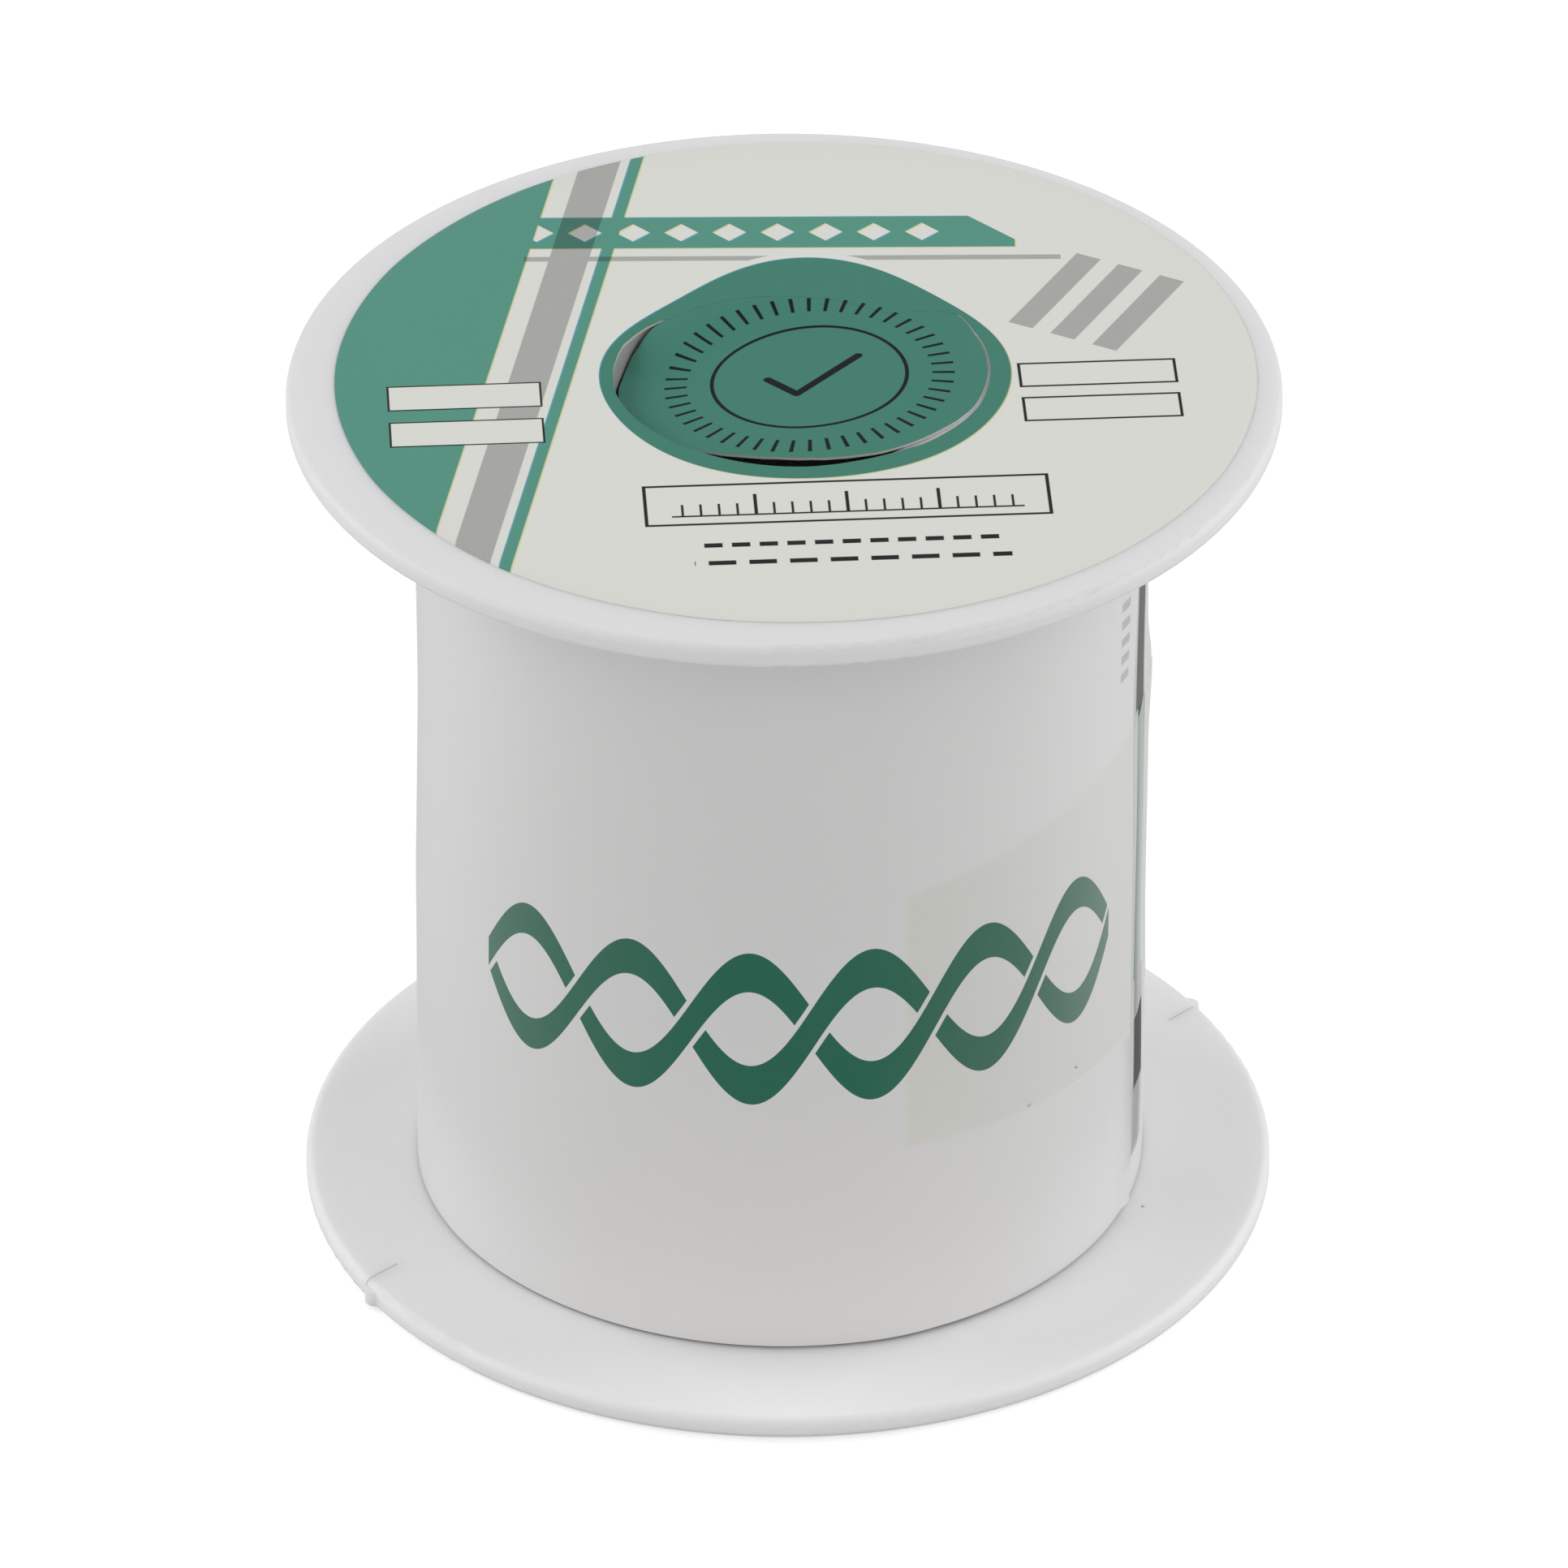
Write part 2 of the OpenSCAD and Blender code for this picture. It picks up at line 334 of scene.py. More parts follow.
def round_shape(x, y, centre, radius):
    """Signed distance to a disc."""
    return size_of(x - centre[0], y - centre[1]) - radius


def box_shape(x, y, centre, size, turn=0):
    """Signed distance to a box, near enough at its corners."""
    u, v = x - centre[0], y - centre[1]
    if turn:
        u, v = turned(u, v, turn)
    return larger(abs(u) - size[0] / 2, abs(v) - size[1] / 2)


def outline(distance, width):
    """Signed distance to the line of that width along a shape's edge."""
    return abs(distance) - width / 2


def stroke(x, y, start, end, width):
    """Signed distance to a straight pen stroke with round ends."""
    run = (end[0] - start[0], end[1] - start[1])
    u, v = x - start[0], y - start[1]
    share = (u * run[0] + v * run[1]).made("DIVIDE", run[0] ** 2 + run[1] ** 2, clamp=True)
    return size_of(u - share * run[0], v - share * run[1]) - width / 2


def repeated(x, pitch):
    """x measured from the middle of its nearest copy in an endless row."""
    return maths(x.tree, "WRAP", x, pitch / 2, -pitch / 2)


def marks(x, y, pitch, width, centre, size, start=0):
    """Signed distance to marks of one width, at a pitch along x from start, inside a box."""
    return larger(abs(repeated(x - start, pitch)) - width / 2, box_shape(x, y, centre, size))


def group_of(name, sizes, outputs):
    """A new shader group that reads a place in mm and sizes.

    Returns its tree, its inputs as fields by name, and the node of its outputs.
    """
    tree = bpy.data.node_groups.new(name, "ShaderNodeTree")
    tree.interface.new_socket("Place", in_out="INPUT", socket_type="NodeSocketVector")
    for size, value in sizes.items():
        socket = tree.interface.new_socket(size, in_out="INPUT", socket_type="NodeSocketFloat")
        socket.default_value = value
    for output in outputs:
        tree.interface.new_socket(output, in_out="OUTPUT", socket_type="NodeSocketFloat")
    sockets = tree.nodes.new("NodeGroupInput").outputs
    given = {socket.name: Field(tree, socket) for socket in sockets}
    return tree, given, tree.nodes.new("NodeGroupOutput")


def plate_group(name, design):
    """A printing plate: a shader group that turns a place in mm into how much ink lies there."""
    tree, given, out = group_of(name, {}, ["Ink"])
    x, y, _ = axes_of(tree, given["Place"])
    feed_all(tree, out, Ink=design(x, y))
    return tree


# ---------- Printed designs, in mm and degrees ----------

# The printed disc, and the waves of its edge: how many go round, their height and their phase
PRINT_DISC, PRINT_DISC_R = (1.19, 1.38), 11.29
PRINT_DISC_WAVES = (1, 0.52, -85), (2, 0.22, 153), (3, 0.38, -93), (4, 0.25, -5), (5, 0.14, 99)

# The left field's straight edge: its slant, and how far left of the middle it lies. Beside it run
# a stripe and a pinstripe, each given by its distance from that edge and its width.
FIELD_SLANT, FIELD_OFF = 9, 16.2
STRIPE_OFF, STRIPE_WIDTH = 2.3, 2.2
PINSTRIPE_OFF, PINSTRIPE_WIDTH = 4.3, 0.7

# The bar at the top, cut off where x + y is BAR_END, and its row of lozenges
BAR_CENTRE, BAR_SIZE, BAR_END = (-4, 15.9), (34, 3.4), 28.0
LOZENGE_START, LOZENGE_PITCH, LOZENGE_HALF = -0.3, 2.7, 0.95
ROW_MIDDLE, ROW_HALF = -2.9, 12.3
# Turns a sum of x and y into a distance
DIAGONAL = 0.707

# The grey bars on the right: centre, turn, pitch, width, and the box that ends them. They and the
# thin rule under the bar keep a quiet gap round the disc.
BARS_CENTRE, BARS_TURN = (17.4, 8.2), 62
BARS_PITCH, BARS_WIDTH, BARS_BOX = 2.6, 1.5, (7.8, 8.4)
RULE_CENTRE, RULE_SIZE, QUIET_GAP = (0.5, 13.1), (30, 0.5), 0.6

# The blank boxes on each side, all turned alike: centres and size, and width of their outline
BOX_TURN = 3
LEFT_BOXES, LEFT_LINE = (((-17.6, -1.6), (-17.4, -5.4)), (8.4, 2.5)), 0.12
RIGHT_BOXES, RIGHT_LINE = (((17.3, 0.6), (17.5, -3.0)), (8.6, 2.4)), 0.17

# The framed tick scale: its centre, frame, line and the width of its rows. In its own axes, both
# kinds of tick, by pitch, width, centre and height, and the line that they stand on.
SCALE_CENTRE, SCALE_FRAME, SCALE_LINE, SCALE_WIDTH = (3.4, -12.6), (22, 4.0), 0.2, 19.2
TICKS = (1.0, 0.14, (0, -0.55), 1.2), (5.0, 0.2, (0, -0.1), 2.1)
TICK_FOOT, TICK_FOOT_HEIGHT = (0, -1.15), 0.16
# The two rows of dashes under it: pitch, width, centre, size and start
DASHES = (1.5, 1.0, (0, -4.2), (16.4, 0.44), 0), (2.2, 1.5, (0, -6.0), (17.2, 0.44), -0.5)

# The seal on the disc: a ring, a dial with a tick every few degrees, and a check mark
SEAL_CENTRE, RING_R, RING_WIDTH = (1.4, 0.76), 5.39, 0.22
DIAL_R, DIAL_STEP, DIAL_TICK = 7.4, 7.5, (0.22, 1.24)
CHECK_POINTS, CHECK_WIDTH = ((-2.3, 0.1), (-0.7, -1.7), (2.7, 2.0)), 0.5


def left_field(x, y):
    """Signed distance to the left field's straight edge."""
    slant = math.radians(FIELD_SLANT)
    return x * math.cos(slant) - y * math.sin(slant) + FIELD_OFF


def print_disc(x, y, grown=0.0):
    """Signed distance to the printed disc, whose edge swings a little in and out."""
    u, v = x - PRINT_DISC[0], y - PRINT_DISC[1]
    angle = maths(x.tree, "ARCTAN2", v, u)
    edge = size_of(u, v) - PRINT_DISC_R - grown
    for count, height, phase in PRINT_DISC_WAVES:
        edge = edge - (angle * count - math.radians(phase)).made("COSINE") * height
    return edge


def boxes_at(x, y, centres, size):
    """Signed distance to each blank box of one side."""
    return [box_shape(x, y, centre, size, BOX_TURN) for centre in centres]


def label_green(x, y):
    """The green plate: a field on the left, a slanted bar at the top and the disc in the middle."""
    edge = left_field(x, y)
    pinstripe = outline(edge - PINSTRIPE_OFF, PINSTRIPE_WIDTH)
    boxes = smaller(*boxes_at(x, y, *LEFT_BOXES))
    left = larger(fill(edge), fill(pinstripe)) * (1 - fill(boxes))
    bar = larger(box_shape(x, y, BAR_CENTRE, BAR_SIZE), (x + y - BAR_END) * DIAGONAL)
    u, v = repeated(x - LOZENGE_START, LOZENGE_PITCH), y - BAR_CENTRE[1]
    lozenge = (abs(u) + abs(v) - LOZENGE_HALF) * DIAGONAL
    row = larger(lozenge, abs(x - ROW_MIDDLE) - ROW_HALF)
    return larger(left, fill(bar) * (1 - fill(row)), fill(print_disc(x, y)))


def label_grey(x, y):
    """The grey plate: a stripe beside the left field, a thin rule and three slanted bars."""
    stripe = outline(left_field(x, y) - STRIPE_OFF, STRIPE_WIDTH)
    boxes = smaller(*boxes_at(x, y, *LEFT_BOXES))
    u, v = turned(x - BARS_CENTRE[0], y - BARS_CENTRE[1], BARS_TURN)
    bars = marks(v, u, BARS_PITCH, BARS_WIDTH, (0, 0), BARS_BOX)
    rule = box_shape(x, y, RULE_CENTRE, RULE_SIZE)
    quiet = 1 - fill(print_disc(x, y, QUIET_GAP))
    return larger(fill(stripe) * (1 - fill(boxes)), fill(smaller(bars, rule)) * quiet)


def seal(x, y):
    """Signed distance to the seal's ring, dial and check mark."""
    s, t = x - SEAL_CENTRE[0], y - SEAL_CENTRE[1]
    radius = size_of(s, t)
    arc = repeated(maths(x.tree, "ARCTAN2", t, s), math.radians(DIAL_STEP)) * DIAL_R
    dial = box_shape(arc, radius, (0, DIAL_R), DIAL_TICK)
    ends = zip(CHECK_POINTS, CHECK_POINTS[1:])
    check = [stroke(s, t, start, end, CHECK_WIDTH) for start, end in ends]
    return smaller(outline(radius - RING_R, RING_WIDTH), dial, *check)


def label_black(x, y):
    """The black plate: blank boxes, a framed tick scale, short dashes, and the seal on the disc."""
    sides = (RIGHT_BOXES, RIGHT_LINE), (LEFT_BOXES, LEFT_LINE)
    boxes = [outline(box, line) for side, line in sides for box in boxes_at(x, y, *side)]
    u, v = turned(x - SCALE_CENTRE[0], y - SCALE_CENTRE[1], BOX_TURN)
    scale = [
        outline(box_shape(u, v, (0, 0), SCALE_FRAME), SCALE_LINE),
        box_shape(u, v, TICK_FOOT, (SCALE_WIDTH, TICK_FOOT_HEIGHT)),
    ]
    for pitch, width, centre, height in TICKS:
        scale.append(marks(u, v, pitch, width, centre, (SCALE_WIDTH, height)))
    dashes = [marks(u, v, *row) for row in DASHES]
    return fill(smaller(*boxes, *scale, *dashes, seal(x, y)), 0.05)


# The wrapper's motif on the flat sheet: its ends, the height of its middle, the length of a lobe,
# how far a ribbon swings, its half width and how that thins outwards, and the gap where it dives
MOTIF_LEFT, MOTIF_RIGHT, MOTIF_HEIGHT = -18.8, 22.0, 22.8
MOTIF_LOBE, MOTIF_SWING = 6.8, 3.7
RIBBON_HALF, RIBBON_THINNING, RIBBON_GAP = 1.35, 0.02, 0.55


def wrapper_green(x, y):
    """The wrapper's plate: two ribbons twisted round each other."""
    from_middle = abs(x - (MOTIF_LEFT + MOTIF_RIGHT) / 2)
    ends = from_middle - (MOTIF_RIGHT - MOTIF_LEFT) / 2
    phase = (x - MOTIF_LEFT) * (math.pi / MOTIF_LOBE)
    swing = phase.made("SINE") * MOTIF_SWING
    half = RIBBON_HALF - from_middle * RIBBON_THINNING
    rising = abs(y - MOTIF_HEIGHT - swing) - half
    falling = abs(y - MOTIF_HEIGHT + swing) - half
    over = fill(phase.made("COSINE"), 0.02)
    first = fill(rising) * (1 - fill(falling - RIBBON_GAP) * over)
    second = fill(falling) * (1 - fill(rising - RIBBON_GAP) * (1 - over))
    return larger(first, second) * fill(ends)


# ---------- Shared shader groups ----------


def dust_group():
    """Sparse specks of dust: how much of a speck lies at a place in mm."""
    sizes = {"Spacing": 4.0, "Share": 0.3, "Size": 0.12}
    tree, given, out = group_of("dust_specks", sizes, ["Dust"])
    place, spacing = given["Place"], given["Spacing"]
    scale = maths(tree, "DIVIDE", 1.0, spacing)
    cells = node(tree, "ShaderNodeTexVoronoi", {"feature": "F1"}, Vector=place, Scale=scale)
    chance = node(tree, "ShaderNodeSeparateColor", Color=cells.outputs["Color"])
    drawn, width, _ = (Field(tree, socket) for socket in chance.outputs)
    ragged = noise(tree, place, Scale=6.0, Detail=2.0) * 2.0
    reach = given["Size"] * width * ragged
    near = fill(Field(tree, cells.outputs["Distance"]) * spacing - reach, 0.05)
    feed_all(tree, out, Dust=near * drawn.made("LESS_THAN", given["Share"]))
    return tree


def grain_group():
    """Fine grain of paper or moulded plastic: a tone from 0 to 1 and a height in mm."""
    tree, given, out = group_of("fine_grain", {"Fine": 8.0, "Broad": 0.25}, ["Tone", "Height"])
    fine = noise(tree, given["Place"], Scale=given["Fine"], Detail=3.0, Roughness=0.6)
    broad = noise(tree, given["Place"], Scale=given["Broad"], Detail=2.0)
    tone, height = fine * 0.4 + broad * 0.6, fine * 0.004 + broad * 0.02
    feed_all(tree, out, Tone=tone, Height=height)
    return tree


def screen_group():
    """The fine dot screen of offset print, from 0 to 1 over a place in mm."""
    tree, given, out = group_of("print_screen", {"Pitch": 0.24}, ["Dots"])
    x, y, _ = axes_of(tree, given["Place"])
    screen_angle = 32
    u, v = turned(x, y, screen_angle)
    turns = maths(tree, "DIVIDE", 2 * math.pi, given["Pitch"])
    dots = (u * turns).made("SINE") * (v * turns).made("SINE")
    feed_all(tree, out, Dots=dots * 0.5 + 0.5)
    return tree


def in_mm(tree, metres):
    """A place in millimetres from one in metres."""
    return vector_maths(tree, "SCALE", metres, Scale=1 / MM)


def place_in_mm(tree):
    """Object coordinates in millimetres."""
    return in_mm(tree, node(tree, "ShaderNodeTexCoord").outputs["Object"])


def slant_of(tree):
    """0 where the surface is seen face on, 1 where it is seen along itself."""
    return Field(tree, node(tree, "ShaderNodeLayerWeight", Blend=0.5).outputs["Facing"])


def moved(tree, place, shift):
    """place seen by a plate that lies off by shift, in mm."""
    return vector_maths(tree, "ADD", place, (-shift[0], -shift[1], 0))


def use(tree, group, **inputs):
    """One use of a shader group in a material: its output, or a list of them."""
    made = tree.nodes.new("ShaderNodeGroup")
    made.node_tree = group
    feed_all(tree, made, **inputs)
    fields = [Field(tree, socket) for socket in made.outputs]
    return fields if len(fields) > 1 else fields[0]


# A Mix node's sockets for colours
MIX_FIRST, MIX_SECOND, MIX_RESULT = 6, 7, 2


def blended(tree, first, second, amount, way="MIX"):
    """A mix of two colours, the first alone where amount is 0."""
    mix = node(tree, "ShaderNodeMix", {"data_type": "RGBA", "blend_type": way})
    feed(tree, mix.inputs["Factor"], amount)
    feed(tree, mix.inputs[MIX_FIRST], first)
    feed(tree, mix.inputs[MIX_SECOND], second)
    return mix.outputs[MIX_RESULT]


def tinted(tree, colour, *layers):
    """colour as seen through inks laid on one by one, each with its amount from 0 to 1."""
    for ink, amount in layers:
        colour = blended(tree, colour, ink, amount, "MULTIPLY")
    return colour


def new_material(name):
    """An empty material; returns it, its tree and its Principled shader."""
    material = bpy.data.materials.new(name)
    material.use_nodes = True
    tree = material.node_tree
    return material, tree, tree.nodes["Principled BSDF"]


def raise_surface(tree, shader, height, strength):
    """Feeds a height in mm to the shader's normal."""
    relief = node(tree, "ShaderNodeBump", Strength=strength, Distance=MM, Height=height)
    tree.links.new(relief.outputs["Normal"], shader.inputs["Normal"])


# ---------- Materials ----------

DUST = dust_group()
GRAIN = grain_group()
SCREEN = screen_group()
GREEN_PLATE = plate_group("label_green_plate", label_green)
GREY_PLATE = plate_group("label_grey_plate", label_grey)
BLACK_PLATE = plate_group("label_black_plate", label_black)
WRAPPER_PLATE = plate_group("wrapper_green_plate", wrapper_green)

# The two tones of each finish
# The lower half is painted lighter than the upper, as painted light from the bright table below
LIT_LOWER_PLASTIC = (0.895, 0.895, 0.905, 1), (0.93, 0.93, 0.94, 1)
UPPER_PLASTIC = (0.80, 0.80, 0.81, 1), (0.835, 0.835, 0.845, 1)
WIRE_METAL = (0.45, 0.45, 0.46, 1), (0.72, 0.72, 0.73, 1)
LABEL_STOCK = (0.80, 0.81, 0.755, 1), (0.78, 0.79, 0.74, 1)
CORE_STOCK = (0.62, 0.61, 0.58, 1), (0.50, 0.49, 0.46, 1)
WRAPPER_STOCK = (0.775, 0.77, 0.765, 1), (0.76, 0.755, 0.75, 1)
TAPE_FILM = (0.68, 0.68, 0.52, 1), (0.84, 0.86, 0.84, 1)
FLOOR_TOP = (0.68, 0.68, 0.68, 1), (0.72, 0.72, 0.72, 1)

# Inks; painted shade of the label's disc and the wrapper's marks, and a painted shadow at their
# foot; painted bounce light on the wrapper's foot; glue; dirt; and painted shade in the bore
CYAN_INK = (0.100, 0.44, 0.655, 1)
YELLOW_INK = (0.92, 0.88, 0.50, 1)
DISC_SHADE = (0.59, 0.72, 0.69, 1)
GREY_INK_AND_SHADE = (0.53, 0.53, 0.54, 1)
BLACK_INK = (0.015, 0.015, 0.018, 1)
WRAPPER_INK = (0.004, 0.18, 0.103, 1)
HIGH_GAP_SHADE = (0.26, 0.262, 0.255, 1)
LOW_GAP_SHADE = (0.12, 0.135, 0.13, 1)
FOOT_SHADOW = (0.62, 0.575, 0.56, 1)
FOOT_BOUNCE_LIGHT = (0.84, 0.825, 0.81, 1)
GLUE = (1.0, 1.0, 0.95, 1)
DIRT = (0.30, 0.26, 0.22, 1)
BORE_SHADE = (0.17, 0.16, 0.16, 1)

# Where painted shade darkens the bore's mouth, in mm: out to a radius, and from a height up
BORE_SHADE_R, BORE_SHADE_HEIGHT = 9.9, 44
# How far the label's two green plates lie off, each its own way, in mm
PLATE_SLIP = 0.035, -0.045


def spool_plastic(name, tones):
    """Bluish-white moulded plastic with a satin skin, a few specks of dust and faint flow marks."""
    material, tree, shader = new_material(name)
    place = place_in_mm(tree)
    x, y, z = axes_of(tree, place)
    tone, height = use(tree, GRAIN, Place=place, Fine=5.0, Broad=0.12)
    dust = use(tree, DUST, Place=place, Spacing=5.0, Share=0.16, Size=0.16)
    colour = blended(tree, *tones, tone)
    colour = blended(tree, colour, DIRT, dust * 0.7)
    # Painted shade darkens the top of the bore, inside its mouth
    bore_shade = fill(size_of(x, y) - BORE_SHADE_R, 1.6) * fill(BORE_SHADE_HEIGHT - z, 4)
    colour = tinted(tree, colour, (BORE_SHADE, bore_shade))
    feed_all(
        tree,
        shader,
        Base_Color=colour,
        Roughness=tone * 0.12 + 0.40,
        Specular_IOR_Level=0.3,
        Subsurface_Weight=0.4,
        Subsurface_Radius=(1.0, 0.95, 1.0),
        Subsurface_Scale=1.6 * MM,
    )
    raise_surface(tree, shader, height, 0.6)
    return material


def solder_wire():
    """Drawn tin-lead wire: dull bright, with faint draw lines and a little tarnish."""
    material, tree, shader = new_material("solder_wire")
    place = place_in_mm(tree)
    tarnish, _ = use(tree, GRAIN, Place=place, Fine=3.0, Broad=0.5)
    stretched = node(tree, "ShaderNodeMapping", Vector=place, Scale=(0.4, 0.4, 14.0))
    drawn = noise(tree, stretched.outputs["Vector"], Scale=1.0, Detail=2.0)
    colour = blended(tree, *WIRE_METAL, tarnish * 0.6 + drawn * 0.4)
    feed_all(tree, shader, Base_Color=colour, Roughness=drawn * 0.2 + 0.24, Metallic=1.0)
    raise_surface(tree, shader, drawn * 0.01, 0.5)
    return material


def printed_label():
    """Coated cream paper printed in green, grey and black; the green plates lie slightly apart."""
    material, tree, shader = new_material("label_paper")
    place = place_in_mm(tree)
    x, y, _ = axes_of(tree, place)
    tone, height = use(tree, GRAIN, Place=place, Fine=9.0, Broad=0.2)
    dots = use(tree, SCREEN, Place=place, Pitch=0.2)
    cyan, yellow = (
        use(tree, GREEN_PLATE, Place=moved(tree, place, [way * slip for slip in PLATE_SLIP]))
        for way in (-1, 1)
    )
    colour = tinted(
        tree,
        blended(tree, *LABEL_STOCK, tone),
        (CYAN_INK, cyan * (1 - dots * 0.08)),
        (YELLOW_INK, yellow),
        (GREY_INK_AND_SHADE, use(tree, GREY_PLATE, Place=place) * (1 - dots * 0.12)),
        (BLACK_INK, use(tree, BLACK_PLATE, Place=place)),
        # The printed disc is darkened a little more, as painted shade
        (DISC_SHADE, fill(print_disc(x, y))),
    )
    centre = (LABEL_CENTRE.x / MM, LABEL_CENTRE.y / MM)
    rim = outline(round_shape(x, y, centre, LABEL_R / MM), 0.7)
    caught = use(tree, DUST, Place=place, Spacing=3.2, Share=0.5, Size=0.22) * fill(rim, 0.2)
    stray = use(tree, DUST, Place=place, Spacing=6.0, Share=0.25, Size=0.10) * 0.5
    colour = blended(tree, colour, DIRT, larger(caught, stray) * 0.8)
    feed_all(
        tree, shader, Base_Color=colour, Roughness=tone * 0.1 + 0.42, Specular_IOR_Level=0.25
    )
    raise_surface(tree, shader, height, 0.35)
    return material


def paper_core():
    """The white cut edge and plain back of the label's paper."""
    material, tree, shader = new_material("paper_core")
    tone, height = use(tree, GRAIN, Place=place_in_mm(tree), Fine=14.0, Broad=1.2)
    feed_all(tree, shader, Base_Color=blended(tree, *CORE_STOCK, tone), Roughness=0.85)
    raise_surface(tree, shader, height, 0.3)
    return material


# Marks on the wrapper's flat sheet, in mm. The strip of its inner end that shows beside the lap has
# five, each with centre, size and blur: a green stripe, painted shade of the gaps over and under
# it, a painted shadow at its foot, and shade.
STRIP_TURN = -1.6
STRIP_MARKS = (
    ((-101.15, 24.7), (2.0, 18.0), 0.1),
    ((-101.15, 43.7), (2.0, 20.0), 0.2),
    ((-101.15, 12.1), (2.3, 7.4), 0.3),
    ((-101.3, 6.3), (2.6, 4.4), 0.8),
    ((-101.85, 29), (3.4, 50), 0.3),
)
# By its outer end are a grey ladder, given by pitch, rung, centre and size, height first, and a
# patch darkened grey low down
LADDER = 1.15, 0.56, (41.5, 23.9), (8.4, 1.0)
GREYED_CENTRE, GREYED_SIZE, GREYED_BLUR = (25.2, 9), (0.9, 8), 1.4


def glued_area(x, z):
    """Signed distance on the wrapper, in mm, to the area that the tape's yellowed glue covers."""
    along = repeated(x, 2 * math.pi * WRAP_R / MM)
    start, end = (math.radians(a) * WRAP_R / MM for a in (TAPE_START, TAPE_END))
    run = (along - start) / (math.radians(TAPE_RUN) * WRAP_R / MM)
    low = TAPE_LOW - run * TAPE_FALL
    high = run * TAPE_RISE + TAPE_HIGH
    return larger(abs(along - (start + end) / 2) - (end - start) / 2, low - z, z - high)


def wrapper_paper():
    """White coated paper; its print follows the sheet, from a UV map in metres."""
    material, tree, shader = new_material("wrapper_paper")
    flat = in_mm(tree, node(tree, "ShaderNodeUVMap", {"uv_map": "sheet"}).outputs["UV"])
    x, z, _ = axes_of(tree, flat)
    place = place_in_mm(tree)
    tone, height = use(tree, GRAIN, Place=place, Fine=7.0, Broad=0.16)
    motif = use(tree, WRAPPER_PLATE, Place=flat)
    ladder = fill(marks(z, x, *LADDER), 0.08) * 0.8
    greyed_patch = fill(box_shape(x, z, GREYED_CENTRE, GREYED_SIZE), GREYED_BLUR) * 0.55
    # Of the strip's marks, those of the gaps are painted shade and that of the foot a painted
    # shadow
    stripe, high_gap_shade, low_gap_shade, foot, shade = (
        fill(box_shape(x, z, centre, size, STRIP_TURN), blur) for centre, size, blur in STRIP_MARKS
    )
    glue = glued_area(x, z)
    # The foot is painted paler in front, as painted bounce light from the flange, and the glue
    # yellows the paper most there
    pale = fading(z, 1.1, 0.05) * fading(abs(x), 1.4, 0.07)
    yellowed = fill(glue, 0.06) * fading(x, 1.25, 0.045)
    colour = blended(tree, *WRAPPER_STOCK, tone)
    colour = blended(tree, colour, FOOT_BOUNCE_LIGHT, pale)
    colour = tinted(
        tree,
        colour,
        # Grey ink for the ladder, with painted shade beside the lap and the patch darkened grey
        (GREY_INK_AND_SHADE, larger(ladder, shade * 0.5, greyed_patch)),
        (WRAPPER_INK, larger(motif, stripe) * (tone * 0.05 + 0.95)),
        # Painted shade in the gaps by the lap, and a painted shadow at its foot
        (HIGH_GAP_SHADE, high_gap_shade),
        (LOW_GAP_SHADE, low_gap_shade),
        (FOOT_SHADOW, foot),
        (GLUE, yellowed),
    )
    dust = use(tree, DUST, Place=place, Spacing=5.0, Share=0.2, Size=0.13) * 0.7
    stuck = use(tree, DUST, Place=place, Spacing=1.1, Share=0.4, Size=0.2) * 0.6
    edge_dirt = stuck * fill(outline(glue, 0.35), 0.15)
    colour = blended(tree, colour, DIRT, larger(dust, edge_dirt))
    # The coating shines where it is seen at a slant, but not on the strip's dark marks
    dark = larger(stripe, high_gap_shade, low_gap_shade)
    sheen = slant_of(tree).made("MULTIPLY_ADD", 3.0, -0.5, clamp=True)
    feed_all(
        tree,
        shader,
        Base_Color=colour,
        Roughness=tone * 0.08 + 0.30 + dark * 0.3,
        Coat_Weight=sheen * (1 - larger(dark, shade)),
        Coat_Roughness=0.3,
        Coat_IOR=1.8,
        Specular_IOR_Level=0.2,
    )
    raise_surface(tree, shader, height, 0.25)
    return material


def clear_tape():
    """Clear tape, a little yellowed, with dust caught under it; it shows most at a slant."""
    material, tree, shader = new_material("clear_tape")
    place = place_in_mm(tree)
    tone, height = use(tree, GRAIN, Place=place, Fine=1.2, Broad=0.2)
    specks = use(tree, DUST, Place=place, Spacing=4.0, Share=0.25, Size=0.10)
    gloss = slant_of(tree).made("POWER", 5.0) * 1.15
    colour = blended(tree, *TAPE_FILM, gloss * 2.5)
    colour = blended(tree, colour, DIRT, specks)
    film = larger(gloss + tone * 0.012 + 0.004, specks * 0.6)
    back = Field(tree, node(tree, "ShaderNodeNewGeometry").outputs["Backfacing"])
    alpha = film * (1 - back)
    feed_all(tree, shader, Base_Color=colour, Alpha=alpha, Roughness=0.1, Metallic=0.4)
    raise_surface(tree, shader, height, 0.1)
    return material


def pale_floor():
    """A plain pale table top that glows to the camera alone."""
    material, tree, shader = new_material("pale_floor")
    tone, _ = use(tree, GRAIN, Place=place_in_mm(tree), Fine=0.5, Broad=0.01)
    colour = blended(tree, *FLOOR_TOP, tone)
    seen = node(tree, "ShaderNodeLightPath").outputs["Is Camera Ray"]
    feed_all(tree, shader, Base_Color=colour, Roughness=0.7, Emission_Color=seen)
    feed_all(tree, shader, Emission_Strength=FLOOR_GLOW)
    return material


# ---------- Meshes ----------


def new_piece(name, mesh, materials):
    """A piece at the origin with its materials."""
    for material in materials:
        mesh.materials.append(material)
    return add_to_scene(bpy.data.objects.new(name, mesh))


def grids(rows, columns, points):
    """One grid, as rows of columns, for each thing that points gives at a row and a column."""
    cells = [[points(row, column) for column in columns] for row in rows]
    return [[[cell[i] for cell in line] for line in cells] for i in range(len(cells[0][0]))]


